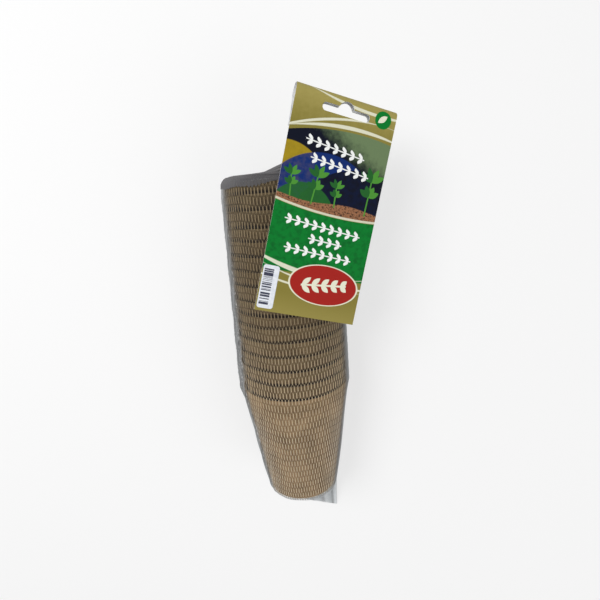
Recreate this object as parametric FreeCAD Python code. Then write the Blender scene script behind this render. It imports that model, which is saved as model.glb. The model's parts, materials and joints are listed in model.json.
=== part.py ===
import FreeCAD, Part
import math
import os

# A stack of nested round fibre pots lying on its side in a tubular net, with a folded hang card.
# +Z is up and z = 0 is the surface that the net's flattened underside rests on. The stack's axis
# runs along Y, foot of the stack at -Y and open mouth at +Y. The origin is the middle of the flat.

Vector = FreeCAD.Vector
ACROSS = Vector(1, 0, 0)
ALONG = Vector(0, 1, 0)
UP = Vector(0, 0, 1)

# One pot: a plain cone of pressed fibre, open at its mouth
pot_mouth_diameter = 80.0
pot_base_diameter = 52.0
pot_height = 90.0
pot_wall = 1.15
pot_floor = 1.6
pot_heel_radius = 2.0
pot_inner_heel_radius = 1.2
pot_rim_radius = 0.35

# The nest: how close two pots can get, and how far apart they lie in the pack, from the foot up
nest_clearance = 0.08
widest_play = 3.4
play_shares = [0.90, 0.60, 0.80, 0.85, 0.62, 0.09, 0.56, 0.69, 0.68, 0.58, 0.62, 0.20, 1.00, 0.70, 0.06]

# The net round the stack
net_gap = 0.3
net_thickness = 0.8
rest_flat_depth = 0.5
mouth_bulge = 2.8

# Places along the neck, from the mouth to the card, in shares of the net's outer radius:
# across, along and up from the middle of the mouth, then half width and half height
bulge_ring_share = 0.96
root_shares = [0.24, 0.12, 0.40, 0.49, 0.49]
hinge_reach_share = 0.4424
# the next two are in the card's own directions, measured back from the hinge line
bend_shares = [-0.29, -0.30, -0.24, 0.33, 0.21]
lead_shares = [-0.09, -0.12, -0.05, 0.27, 0.075]

# The flattened end of the net past the base
tail_root_reach = 22.0
tail_root_width = 38.0
tail_root_thickness = 5.0
tail_end_reach = 57.0
tail_end_width = 31.0
tail_end_thickness = 1.8
tail_end_skew = 16.0
tail_lift = 0.4
tail_root_place_shares = [0.27, 0.40]
tail_end_place_share = 0.37

# The hang card: front panel, round fold at the top and a short back flap
card_width = 66.4
card_length = 138.3
card_thickness = 0.45
card_gap = 0.6
fold_radius = 4.5
flap_angle = 20.0
flap_bend_radius = 4.0
flap_end = 112.5
card_yaw = 15.8
card_slope = 7.4
card_roll = 10.9
card_foot_x = 9.2

# The hang slot: a wide band with a round bump, punched through both panels
slot_length = 31.0
slot_height = 5.0
slot_middle = 128.3
slot_corner_share = 0.9
bump_radius = 5.0
bump_rise = 1.2
flap_slot_shift_along = 1.6
flap_slot_shift_across = 1.5

# The bunched end of the net between the panels, and the line that the card swings about
gather_thickness = 3.0
gather_width = 27.0
gather_throat_width = 21.0
gather_length = 12.0
gather_side_gap = 0.1
gather_start_gap = 0.4
gather_start_slope = 1.2
hinge_line = 110.0
hinge_gap = 0.3
neck_end_width = 20.0

# Two wire staples through the back flap and the net; the front panel covers their tips
staple_wire = 0.6
staple_width = 10.0
staple_spacing = 13.0
staple_reach = 6.0
staple_tip = 2.6
staple_bend_radius = 0.4
staple_seat = 0.05
pierced_clearance = 0.05

# The paper label at the card's lower left
label_width = 10.2
label_length = 27.0
label_thickness = 0.12
label_corner_radius = 1.6
label_edge_gap = 0.9
label_foot_gap = 1.7

# Two places closer than this count as one
least_run = 0.001

# Sizes that follow
pot_mouth_radius = pot_mouth_diameter / 2
pot_base_radius = pot_base_diameter / 2
pot_spread = (pot_mouth_radius - pot_base_radius) / pot_height
seat_pitch = (pot_wall + nest_clearance) / pot_spread
pitches = [seat_pitch + share * widest_play for share in play_shares]
stack_span = sum(pitches)
first_lip = -stack_span / 2
last_lip = stack_span / 2
base_y = first_lip - pot_height
net_bore = pot_mouth_radius + net_gap
net_radius = net_bore + net_thickness
net_foot_radius = pot_base_radius + net_gap + net_thickness
axis_height = net_radius - rest_flat_depth
gather_end = hinge_line + gather_length
staple_line = hinge_line + staple_reach
overrun = net_radius

# Depths behind the card's printed face: the flap, the bunched net and the line that it bends about
flap_face = -card_thickness - gather_thickness - 2 * gather_side_gap
gather_middle = -card_thickness - gather_side_gap - gather_thickness / 2
hinge_depth = -card_thickness - hinge_gap - gather_thickness / 2


def rounded_path(points, radii, closed):
    """Straight runs through the points, with a tangent arc of the given radius at each corner."""
    count = len(points)
    starts = list(points)
    ends = list(points)
    edges = []
    corners = range(count) if closed else range(1, count - 1)
    for i in corners:
        if radii[i] == 0:
            continue
        corner = points[i]
        back = (points[i - 1] - corner).normalize()
        ahead = (points[(i + 1) % count] - corner).normalize()
        half = back.getAngle(ahead) / 2
        reach = radii[i] / math.tan(half)
        middle = corner + (back + ahead).normalize() * (radii[i] / math.sin(half) - radii[i])
        ends[i] = corner + back * reach
        starts[i] = corner + ahead * reach
        edges.append(Part.Arc(ends[i], middle, starts[i]).toShape())
    for i in range(count if closed else count - 1):
        run_start = starts[i]
        run_end = ends[(i + 1) % count]
        if (run_end - run_start).Length > least_run:
            edges.append(Part.LineSegment(run_start, run_end).toShape())
    return Part.Wire(Part.__sortEdges__(edges))


def rounded_face(points, radii):
    return Part.Face(rounded_path(points, radii, True))


def oval(centre, across, up, half_width, half_height):
    """A closed oval; its seam always starts on the +across side, so that lofts don't twist."""
    if half_width == half_height:
        curve = Part.Circle(centre, across.cross(up), half_width)
        curve.XAxis = across
    else:
        curve = Part.Ellipse(centre + across * half_width, centre + up * half_height, centre)
    return Part.Wire(curve.toShape())


def ruled_solid(sections):
    return Part.makeLoft(sections, True, True)


def save(name, shape):
    solids = shape.Solids
    whole = solids[0] if len(solids) == 1 else Part.makeCompound(solids)
    if not whole.isValid():
        raise RuntimeError(name + " is not a valid shape")
    whole.exportStep(os.path.join("parts", name + ".step"))
    print(name, len(solids), "solid, volume", round(whole.Volume, 1))


# Pots

def pot_shape():
    """One pot standing on the XZ plane, its axis along +Y."""
    points = [
        Vector(0, 0, 0),
        Vector(pot_base_radius, 0, 0),
        Vector(pot_mouth_radius, pot_height, 0),
        Vector(pot_mouth_radius - pot_wall, pot_height, 0),
        Vector(pot_base_radius + pot_spread * pot_floor - pot_wall, pot_floor, 0),
        Vector(0, pot_floor, 0),
    ]
    radii = [0, pot_heel_radius, pot_rim_radius, pot_rim_radius, pot_inner_heel_radius, 0]
    return rounded_face(points, radii).revolve(Vector(0, 0, 0), ALONG, 360)


def pots():
    """The nested pots, each with the place of its lip, from the foot of the stack up."""
    shape = pot_shape()
    lip = first_lip
    for k in range(len(pitches) + 1):
        placed = shape.copy()
        placed.translate(Vector(0, lip - pot_height, axis_height))
        save("pot_%02d" % (k + 1), placed)
        if k < len(pitches):
            lip += pitches[k]


# The card's own frame: across its width, up its length and out of its printed face

card_turn = FreeCAD.Rotation(UP, -card_yaw)
card_turn = card_turn * FreeCAD.Rotation(ACROSS, -card_slope)
card_turn = card_turn * FreeCAD.Rotation(ALONG, card_roll)
card_across = card_turn.multVec(ACROSS)
card_along = card_turn.multVec(ALONG)
card_out = card_turn.multVec(UP)

# The card's foot lies as far back as puts its hinge line where the net's neck ends
card_foot_y = last_lip + hinge_reach_share * net_radius
card_foot_y -= card_along.y * hinge_line + card_out.y * hinge_depth

# The panel's back face clears the net at the mouth, where the sloping panel comes closest
panel_reach = net_radius * math.hypot(card_out.x, card_out.z)
panel_reach += card_out.y * last_lip + card_out.z * axis_height + card_gap + card_thickness
card_foot_z = (panel_reach - card_out.x * card_foot_x - card_out.y * card_foot_y) / card_out.z
card_foot = Vector(card_foot_x, card_foot_y, card_foot_z)
card_place = FreeCAD.Placement(card_foot, card_turn)


def on_card(across, along, out):
    return card_foot + card_across * across + card_along * along + card_out * out


def offset_route(route, distance):
    """The corners of a route moved sideways, to its left."""
    moved = []
    for i, point in enumerate(route):
        turns = []
        if i > 0:
            run = (point - route[i - 1]).normalize()
            turns.append(Vector(0, -run.z, run.y))
        if i < len(route) - 1:
            run = (route[i + 1] - point).normalize()
            turns.append(Vector(0, -run.z, run.y))
        side = turns[0] + turns[-1]
        moved.append(point + side * (2 * distance / side.dot(side)))
    return moved


def slot_tool(along, across, low, high):
    """The slot's outline as a prism between two depths of the card."""
    half = slot_length / 2
    end = slot_height / 2
    band = [
        Vector(across - half, along - end, low),
        Vector(across + half, along - end, low),
        Vector(across + half, along + end, low),
        Vector(across - half, along + end, low),
    ]
    depth = Vector(0, 0, high - low)
    tool = rounded_face(band, [end * slot_corner_share] * 4).extrude(depth)
    bump = Part.makeCylinder(bump_radius, high - low, Vector(across, along + bump_rise, low), UP)
    below = Part.makeBox(slot_length, slot_length, high - low,
                         Vector(across - half, along - end - slot_length, low))
    return tool.fuse(bump.cut(below))


def staple_wires(radius):
    """Crowns on the flap's back, legs through flap and net, tips bent in under the front panel."""
    crown = flap_face - card_thickness - staple_seat - staple_wire / 2
    tip = gather_middle + gather_thickness / 2 - staple_seat - staple_wire / 2
    wires = []
    for centre in (-staple_spacing / 2, staple_spacing / 2):
        left = centre - staple_width / 2
        right = centre + staple_width / 2
        points = [
            Vector(left + staple_tip, staple_line, tip),
            Vector(left, staple_line, tip),
            Vector(left, staple_line, crown),
            Vector(right, staple_line, crown),
            Vector(right, staple_line, tip),
            Vector(right - staple_tip, staple_line, tip),
        ]
        path = rounded_path(points, [0] + [staple_bend_radius] * 4 + [0], False)
        ring = Part.Wire(Part.Circle(points[0], ACROSS, radius).toShape())
        wires.append(path.makePipeShell([ring], True, False))
    return Part.makeCompound(wires)


def header_card():
    """One sheet: front panel, round fold and back flap, with the slot through both panels."""
    half = card_thickness / 2
    bend = fold_radius - half
    lean = math.radians(flap_angle)
    top = card_length - half
    fold_depth = bend * (1 + math.tan(math.pi / 4 + lean / 2))
    flap_level = flap_face - half
    run_out = (fold_depth + half + flap_level) / math.tan(lean)
    route = [
        Vector(0, 0, -half),
        Vector(0, top, -half),
        Vector(0, top, -half - fold_depth),
        Vector(0, top - run_out, flap_level),
        Vector(0, flap_end, flap_level),
    ]
    bends = [0, bend, bend, flap_bend_radius, 0]
    turn_sides = [0, -1, -1, 1, 0]
    left = offset_route(route, half)
    right = offset_route(route, -half)
    left_radii = [b - s * half if b else 0 for b, s in zip(bends, turn_sides)]
    right_radii = [b + s * half if b else 0 for b, s in zip(bends, turn_sides)]
    points = left + right[::-1]
    radii = left_radii + right_radii[::-1]
    sheet = rounded_face(points, radii).extrude(ACROSS * card_width)
    sheet.translate(ACROSS * (-card_width / 2))
    middle = -fold_radius
    deep = -4 * fold_radius
    sheet = sheet.cut(slot_tool(slot_middle, 0, middle, fold_radius))
    flap_slot_middle = slot_middle + flap_slot_shift_along
    sheet = sheet.cut(slot_tool(flap_slot_middle, flap_slot_shift_across, deep, middle))
    return sheet.cut(staple_wires(staple_wire / 2 + pierced_clearance))


def barcode_label():
    left = -card_width / 2 + label_edge_gap
    corners = [
        Vector(left, label_foot_gap, 0),
        Vector(left + label_width, label_foot_gap, 0),
        Vector(left + label_width, label_foot_gap + label_length, 0),
        Vector(left, label_foot_gap + label_length, 0),
    ]
    outline = rounded_face(corners, [label_corner_radius] * 4)
    return outline.extrude(UP * label_thickness)


def net_gather():
    """The bunched net between the panels: a flat wedge that fans out a little past the staples."""
    low = gather_middle - gather_thickness / 2
    high = gather_middle + gather_thickness / 2
    start = hinge_line + gather_start_gap
    side = [
        Vector(0, start, high),
        Vector(0, gather_end, high),
        Vector(0, gather_end, low),
        Vector(0, start + gather_start_slope, low),
    ]
    slab = Part.Face(Part.makePolygon(side + side[:1])).extrude(ACROSS * gather_width)
    slab.translate(ACROSS * (-gather_width / 2))
    outline = [
        Vector(-gather_throat_width / 2, hinge_line, low),
        Vector(gather_throat_width / 2, hinge_line, low),
        Vector(gather_width / 2, staple_line - staple_wire, low),
        Vector(gather_width / 2, gather_end, low),
        Vector(-gather_width / 2, gather_end, low),
        Vector(-gather_width / 2, staple_line - staple_wire, low),
    ]
    fan = rounded_face(outline, [0, 0, 0, gather_thickness, gather_thickness, 0])
    fan = fan.extrude(UP * gather_thickness)
    return slab.common(fan).cut(staple_wires(staple_wire / 2 + pierced_clearance))


def staples():
    return staple_wires(staple_wire / 2)


# The net, in stretches that meet face to face

def above_rest(shape):
    """Cut off whatever lies below the resting surface."""
    reach = stack_span + 2 * pot_height
    under = Part.makeBox(reach, 2 * reach, overrun, Vector(-reach / 2, -reach, -overrun))
    return shape.cut(under)


def ring_at(y, radius):
    return oval(Vector(0, y, axis_height), ACROSS, UP, radius, radius)


def net_sleeve():
    foot = Vector(0, first_lip, axis_height)
    outer = Part.makeCylinder(net_radius, stack_span, foot, ALONG)
    inner = Part.makeCylinder(net_bore, stack_span, foot, ALONG)
    return above_rest(outer.cut(inner))


def tail_root(shrink):
    centre = Vector(tail_root_place_shares[0] * net_radius, base_y - tail_root_reach,
                    tail_root_place_shares[1] * net_radius)
    return oval(centre, ACROSS, UP, tail_root_width / 2 - shrink, tail_root_thickness / 2 - shrink)


def tail_end():
    half = tail_end_thickness / 2
    centre = Vector(tail_end_place_share * net_radius, base_y - tail_end_reach, tail_lift + half)
    skew = math.radians(tail_end_skew)
    across = Vector(math.cos(skew), -math.sin(skew), 0)
    return oval(centre, across, UP, tail_end_width / 2, half)


def net_foot():
    """The tapering stretch over the lowest pot, drawn together past its base into the tail."""
    cone = Part.makeCone(net_foot_radius, net_radius, pot_height, Vector(0, base_y, axis_height), ALONG)
    hollow = Part.makeCone(net_foot_radius - net_thickness, net_bore, pot_height,
                           Vector(0, base_y, axis_height), ALONG)
    closing = ruled_solid([ring_at(base_y, net_foot_radius), tail_root(0)])
    closing_hollow = ruled_solid([ring_at(base_y, net_foot_radius - net_thickness),
                                  tail_root(net_thickness)])
    return above_rest(cone.cut(hollow).fuse(closing.cut(closing_hollow)))


def net_tail():
    return ruled_solid([tail_root(0), tail_end()])


def neck_sections(shrink):
    """Ovals from the mouth's rim to the hinge line; shrink makes the same run for the inside."""
    mouth = Vector(0, last_lip, axis_height)
    bulge = ring_at(last_lip + mouth_bulge - shrink, bulge_ring_share * net_radius - shrink)
    rim = ring_at(last_lip, net_radius - shrink)
    x, y, z, width, height = [share * net_radius for share in root_shares]
    turned = (ACROSS + card_across).normalize()
    raised = (UP + card_out).normalize()
    root = oval(mouth + Vector(x, y - shrink, z), ACROSS, UP, width - shrink, height - shrink)
    hinge = on_card(0, hinge_line, hinge_depth)
    sections = [rim, bulge, root]
    for shares, across, up in ((bend_shares, turned, raised), (lead_shares, card_across, card_out)):
        a, b, c, width, height = [share * net_radius for share in shares]
        centre = hinge + card_across * a + card_along * b + card_out * c
        square = across.cross(up).cross(across).normalize()
        sections.append(oval(centre, across, square, width - shrink, height - shrink))
    return sections, hinge


def net_neck():
    """The net over the open mouth, drawn up to the hinge line at the card's back."""
    outer, hinge = neck_sections(0)
    end = oval(hinge, card_across, card_out, neck_end_width / 2, gather_thickness / 2)
    inner = neck_sections(net_thickness)[0]
    return above_rest(ruled_solid(outer + [end]).cut(ruled_solid(inner)))


os.makedirs("parts", exist_ok=True)
pots()
save("net_sleeve", net_sleeve())
save("net_foot", net_foot())
save("net_tail", net_tail())
save("net_neck", net_neck())
for name, make in (("header_card", header_card), ("barcode_label", barcode_label),
                   ("net_gather", net_gather), ("staples", staples)):
    piece = make()
    piece.Placement = card_place
    save(name, piece)
print("seat pitch", round(seat_pitch, 3), "travels", [round(p - seat_pitch, 3) for p in pitches])
print("hinge at", on_card(0, hinge_line, hinge_depth), "axis", card_across * -1)
print("slot middle", on_card(0, slot_middle, 0), "card foot", card_foot)
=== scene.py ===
import bmesh
import bpy
import json
import math
import numpy as np
from mathutils import Matrix, Vector, noise


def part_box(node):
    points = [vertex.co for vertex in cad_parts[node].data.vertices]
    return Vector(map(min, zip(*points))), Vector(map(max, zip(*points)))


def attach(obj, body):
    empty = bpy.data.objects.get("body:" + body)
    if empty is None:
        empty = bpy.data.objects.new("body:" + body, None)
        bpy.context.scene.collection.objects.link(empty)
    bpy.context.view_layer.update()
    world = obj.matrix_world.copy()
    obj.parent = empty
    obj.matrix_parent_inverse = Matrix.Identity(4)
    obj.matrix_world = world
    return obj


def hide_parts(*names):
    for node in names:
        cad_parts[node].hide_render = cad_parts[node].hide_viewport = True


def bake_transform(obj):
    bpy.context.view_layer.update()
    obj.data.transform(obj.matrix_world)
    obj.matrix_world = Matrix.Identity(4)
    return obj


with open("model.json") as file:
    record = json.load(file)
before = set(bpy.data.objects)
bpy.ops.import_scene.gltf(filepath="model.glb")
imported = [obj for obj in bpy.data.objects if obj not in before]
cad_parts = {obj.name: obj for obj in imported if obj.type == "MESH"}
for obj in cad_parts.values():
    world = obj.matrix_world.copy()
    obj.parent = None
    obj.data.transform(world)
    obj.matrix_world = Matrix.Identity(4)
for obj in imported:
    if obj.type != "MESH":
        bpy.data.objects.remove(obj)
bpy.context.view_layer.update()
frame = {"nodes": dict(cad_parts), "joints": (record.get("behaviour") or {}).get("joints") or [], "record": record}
print("frame loaded", len(frame["nodes"]), "nodes")

mm = 0.001
mmInMetre = 1000
nodes = frame["nodes"]
potNames = sorted(name for name in nodes if name.startswith("pot_"))
lips = [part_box(name)[1].y for name in potNames]
axisHeight = (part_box("pot_01")[0].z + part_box("pot_01")[1].z) / 2


# Small tools for objects and nodes

def addObject(name, data):
    made = bpy.data.objects.new(name, data)
    bpy.context.scene.collection.objects.link(made)
    return made


def addNode(tree, kind, **settings):
    made = tree.nodes.new(kind)
    for key, value in settings.items():
        setattr(made, key, value)
    return made


def srgb(red, green, blue):
    parts = []
    for part in (red / 255, green / 255, blue / 255):
        parts.append(part / 12.92 if part <= 0.04045 else ((part + 0.055) / 1.055) ** 2.4)
    return (*parts, 1.0)


def mathMethod(operation):
    return lambda self, *others: self.calc(operation, *others)


class Field:
    # a number that varies over a surface, so that patterns can be written as plain sums
    def __init__(self, tree, socket):
        self.tree = tree
        self.socket = socket

    def calc(self, operation, *others):
        made = addNode(self.tree, "ShaderNodeMath", operation=operation)
        for slot, value in zip(made.inputs, (self, *others)):
            if isinstance(value, Field):
                self.tree.links.new(value.socket, slot)
            else:
                slot.default_value = value
        return Field(self.tree, made.outputs[0])

    __add__ = __radd__ = mathMethod("ADD")
    __sub__ = mathMethod("SUBTRACT")
    __mul__ = mathMethod("MULTIPLY")
    __truediv__ = mathMethod("DIVIDE")
    __abs__ = mathMethod("ABSOLUTE")
    least = mathMethod("MINIMUM")
    most = mathMethod("MAXIMUM")

    def __rsub__(self, other):
        return self.calc("MULTIPLY", -1.0) + other

    def fade(self, low, high):  # 0 below low, 1 above high, smooth between
        made = addNode(self.tree, "ShaderNodeMapRange", interpolation_type="SMOOTHSTEP")
        self.tree.links.new(self.socket, made.inputs["Value"])
        made.inputs["From Min"].default_value = low
        made.inputs["From Max"].default_value = high
        return Field(self.tree, made.outputs["Result"])


def hypot(a, b):
    return (a * a + b * b).calc("SQRT")


def paint(tree, base, colour, mask):
    # a Mix node set to colours holds its factor in input 0 and the two colours in 6 and 7
    made = addNode(tree, "ShaderNodeMix", data_type="RGBA")
    for socket, value in ((made.inputs[6], base), (made.inputs[7], colour)):
        if isinstance(value, tuple):
            socket.default_value = value
        else:
            tree.links.new(value, socket)
    tree.links.new(mask.socket, made.inputs[0])
    return made.outputs[2]


def newMaterial(name, roughness, **sockets):
    material = bpy.data.materials.new(name)
    material.use_nodes = True
    tree = material.node_tree
    shader = tree.nodes["Principled BSDF"]
    shader.inputs["Roughness"].default_value = roughness
    for key, value in sockets.items():
        shader.inputs[key.replace("_", " ")].default_value = value
    return material, tree, shader


def objectPoint(tree):
    return addNode(tree, "ShaderNodeTexCoord").outputs["Object"]


def lengthwise(tree):  # how far along the stack a point lies
    parts = addNode(tree, "ShaderNodeSeparateXYZ")
    tree.links.new(objectPoint(tree), parts.inputs[0])
    return Field(tree, parts.outputs["Y"])


def attribute(tree, name):
    return Field(tree, addNode(tree, "ShaderNodeAttribute", attribute_name=name).outputs["Fac"])


def stretched(tree, point, scales, turn=(0, 0, 0)):
    made = addNode(tree, "ShaderNodeMapping")
    made.inputs["Scale"].default_value = scales
    made.inputs["Rotation"].default_value = turn
    tree.links.new(point, made.inputs["Vector"])
    return made.outputs["Vector"]


def cloud(tree, point, scale, detail=3.0, roughness=0.55):
    made = addNode(tree, "ShaderNodeTexNoise")
    made.inputs["Scale"].default_value = scale
    made.inputs["Detail"].default_value = detail
    made.inputs["Roughness"].default_value = roughness
    tree.links.new(point, made.inputs["Vector"])
    return Field(tree, made.outputs["Fac"])


def finishMaterial(tree, shader, colour, height, bump):
    tree.links.new(colour, shader.inputs["Base Color"])
    made = addNode(tree, "ShaderNodeBump")
    made.inputs["Distance"].default_value, made.inputs["Strength"].default_value = bump
    tree.links.new(height.socket, made.inputs["Height"])
    tree.links.new(made.outputs["Normal"], shader.inputs["Normal"])


# Camera, floor and light

view = {
    "place": (0.000571, 0.06406, 0.347059),
    "ahead": (0.02349, -0.24167, -0.97007),
    "up": (0.07893, 0.96776, -0.23919),
    "lens": 25.371,
    "sensor": 36.0,
    "nearest": 0.01,
}
stage = {
    "floorSize": 3.0,
    "floorColour": srgb(236, 236, 236),
    "floorRoughness": 0.9,
    "floorGlow": 0.62,
    "worldStrength": 0.40,
    # place, size and power of each lamp
    "keyLamp": ((-0.55, 0.45, 0.95), 0.6, 9.0),
    "fillLamp": ((0.7, -0.5, 0.8), 0.9, 3.2),
}


def makeCamera():
    data = bpy.data.cameras.new("photoCamera")
    data.lens = view["lens"]
    data.sensor_width = view["sensor"]
    data.clip_start = view["nearest"]
    camera = addObject("photoCamera", data)
    back = -Vector(view["ahead"]).normalized()
    side = Vector(view["up"]).cross(back).normalized()
    up = back.cross(side)
    turn = Matrix((side, up, back)).transposed().to_4x4()
    camera.matrix_world = Matrix.Translation(view["place"]) @ turn
    bpy.context.scene.camera = camera


def makeLamp(name, place, size, power):
    data = bpy.data.lights.new(name, "AREA")
    data.shape = "DISK"
    data.size = size
    data.energy = power
    lamp = addObject(name, data)
    lamp.location = place
    lamp.rotation_euler = (-Vector(place)).to_track_quat("-Z", "Y").to_euler()


def throughCamera(tree):  # 1 for what the camera, a mirror or glass shows
    rays = addNode(tree, "ShaderNodeLightPath")
    seen = Field(tree, rays.outputs["Is Camera Ray"])
    seen = seen.most(Field(tree, rays.outputs["Is Glossy Ray"]))
    return seen.most(Field(tree, rays.outputs["Is Transmission Ray"]))


def makeFloor():
    half = stage["floorSize"] / 2
    corners = [(-half, -half, 0), (half, -half, 0), (half, half, 0), (-half, half, 0)]
    mesh = bpy.data.meshes.new("floor")
    mesh.from_pydata(corners, [], [(0, 1, 2, 3)])
    floor = addObject("floor", mesh)
    material, tree, shader = newMaterial("paleFloor", stage["floorRoughness"])
    shader.inputs["Base Color"].default_value = stage["floorColour"]
    glow = addNode(tree, "ShaderNodeEmission")
    mix = addNode(tree, "ShaderNodeMixShader")
    tree.links.new((throughCamera(tree) * stage["floorGlow"]).socket, mix.inputs[0])
    tree.links.new(shader.outputs[0], mix.inputs[1])
    tree.links.new(glow.outputs[0], mix.inputs[2])
    tree.links.new(mix.outputs[0], tree.nodes["Material Output"].inputs[0])
    mesh.materials.append(material)


def makeWorld():
    world = bpy.data.worlds.new("softRoom")
    world.use_nodes = True
    tree = world.node_tree
    background = tree.nodes["Background"]
    background.inputs["Color"].default_value = (1, 1, 1, 1)
    strength = throughCamera(tree) * (1 - stage["worldStrength"]) + stage["worldStrength"]
    tree.links.new(strength.socket, background.inputs["Strength"])
    bpy.context.scene.world = world
    bpy.context.scene.view_settings.view_transform = "Standard"


makeCamera()
makeFloor()
makeWorld()
for name in ("keyLamp", "fillLamp"):
    makeLamp(name, *stage[name])
print("camera, floor and lights")


# Pots of pressed fibre

pot = {
    "wall": 1.15 * mm,
    "floor": 1.6 * mm,
    "heel": 2.0 * mm,
    "innerHeel": 1.2 * mm,
    "rim": 0.35 * mm,
    "baseShare": 52 / 80,
    "around": 180,
    "cornerPoints": (7, 5, 4, 5),  # outer heel, outer and inner half of the lip, inner heel
    "flatRings": (6, 5),  # under the base and on the inside floor
    "wallRings": (16, 15),  # below and above the place from where they lie closer together
    "closerFrom": 0.86,
    "lipBand": 9.0 * mm,
    "lipWave": 0.30 * mm,
    "ragged": ((3.2, 0.7), (11, 0.5), (38, 0.3)),
    "wallWave": 0.16 * mm,
    "innerShare": 0.5,
    "lumps": (22, 260.0),  # round the pot and along it
    "fades": (0.5, 3, 2),  # how fast the lumps, the lip's waves and its painted highlight fade below the lip
    "seedStep": (7.3, 3.1, 5.7),
}


def arcPoints(centre, radius, start, end, count):
    angles = np.linspace(math.radians(start), math.radians(end), count)
    return [(centre[0] + radius * math.cos(a), centre[1] + radius * math.sin(a)) for a in angles]


def linePoints(start, end, shares):
    return [(start[0] + (end[0] - start[0]) * t, start[1] + (end[1] - start[1]) * t) for t in shares]


def potProfile(baseRadius, mouthRadius, height):
    # radius and height of each ring, from the base's underside round the lip to the inside floor
    lean = math.degrees(math.atan2(mouthRadius - baseRadius, height))
    spread = (mouthRadius - baseRadius) / height
    wall, floor, heel, inner, rim = (pot[key] for key in ("wall", "floor", "heel", "innerHeel", "rim"))
    heelCount, lipCount, innerLipCount, innerHeelCount = pot["cornerPoints"]
    cornerShare = math.tan(math.radians(45 - lean / 2))
    heelX = baseRadius - heel * cornerShare
    outerHeel = arcPoints((heelX, heel), heel, -90, -lean, heelCount)
    mouthX = mouthRadius - spread * rim
    innerMouthX = mouthRadius - wall - spread * rim
    lipOuter = arcPoints((mouthX - rim, height - rim), rim, -lean, 90, lipCount)
    lipInner = arcPoints((innerMouthX + rim, height - rim), rim, 90, 180, innerLipCount)
    innerX = baseRadius + spread * floor - wall - inner * cornerShare
    innerHeel = arcPoints((innerX, floor + inner), inner, -lean, -90, innerHeelCount)
    wide, close = pot["wallRings"]
    closer = pot["closerFrom"]
    shares = np.concatenate([np.linspace(0, closer, wide), np.linspace(closer, 1, close)[1:]])
    underBase, onFloor = pot["flatRings"]
    rings = [(r, 0.0) for r in np.linspace(0, heelX, underBase)[:-1]] + outerHeel
    rings += linePoints(outerHeel[-1], lipOuter[0], shares[1:-1]) + lipOuter + lipInner[1:]
    rings += linePoints(lipInner[-1], innerHeel[0], (1 - shares[::-1])[1:-1]) + innerHeel
    return rings + [(r, floor) for r in np.linspace(innerX, 0, onFloor)[1:]]


def closedMesh(name, points):
    # rings of equal count joined by quads, with a fan to a middle point at both ends
    rings, around = points.shape[:2]
    vertices = [tuple(p) for p in points.reshape(-1, 3)]
    faces = []
    for i in range(rings - 1):
        for j in range(around):
            k = (j + 1) % around
            faces.append((i * around + j, i * around + k, (i + 1) * around + k, (i + 1) * around + j))
    for ring, way in ((0, -1), (rings - 1, 1)):
        vertices.append(tuple(points[ring].mean(0)))
        for j in range(around):
            edge = (ring * around + j, ring * around + (j + 1) % around)
            faces.append((*edge[::way], len(vertices) - 1))
    mesh = bpy.data.meshes.new(name)
    mesh.from_pydata(vertices, [], faces)
    shell = bmesh.new()
    shell.from_mesh(mesh)
    bmesh.ops.recalc_face_normals(shell, faces=shell.faces)
    shell.to_mesh(mesh)
    shell.free()
    mesh.polygons.foreach_set("use_smooth", [True] * len(mesh.polygons))
    return mesh


def makePot(name, number, material):
    low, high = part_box(name)
    mouthRadius = (high.x - low.x) / 2
    height = high.y - low.y
    rings = potProfile(mouthRadius * pot["baseShare"], mouthRadius, height)[1:-1]
    angles = np.linspace(0, 2 * math.pi, pot["around"], endpoint=False)
    seed = Vector([number * step for step in pot["seedStep"]])
    lumpsAround, lumpsAlong = pot["lumps"]
    lumpFade, waveFade, highlightFade = pot["fades"]
    points = np.zeros((len(rings), pot["around"], 3))
    lipMark, outerMark = [], []
    lipRing = max(range(len(rings)), key=lambda i: rings[i][1])
    for i, (radius, y) in enumerate(rings):
        outerMark += [float(i <= lipRing)] * pot["around"]
        hollow = -pot["wallWave"] if i <= lipRing else pot["wallWave"] * pot["innerShare"]
        nearLip = max(0.0, 1 - (height - y) / pot["lipBand"])
        for j, angle in enumerate(angles):
            way = Vector((math.cos(angle), 0, math.sin(angle)))
            ragged = sum(noise.noise(way * scale + seed) * share for scale, share in pot["ragged"])
            lumps = noise.noise(way * lumpsAround + Vector((0, y * lumpsAlong, 0)) + seed)
            r = radius + abs(lumps) * hollow * nearLip ** lumpFade
            rise = ragged * pot["lipWave"] * nearLip ** waveFade
            points[i, j] = (r * way.x, low.y + y + rise, axisHeight + r * way.z)
            lipMark.append(nearLip ** highlightFade)
    mesh = closedMesh(name + "_fibre", points)
    for key, values in (("lipMark", lipMark), ("outerMark", outerMark)):
        mark = mesh.attributes.new(key, "FLOAT", "POINT")
        mark.data.foreach_set("value", values + [0.0, 0.0])
    mesh.materials.append(material)
    piece = addObject(name + "_fibre", mesh)
    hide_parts(name)
    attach(piece, "net_bag" if name == "pot_01" else name)


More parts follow.
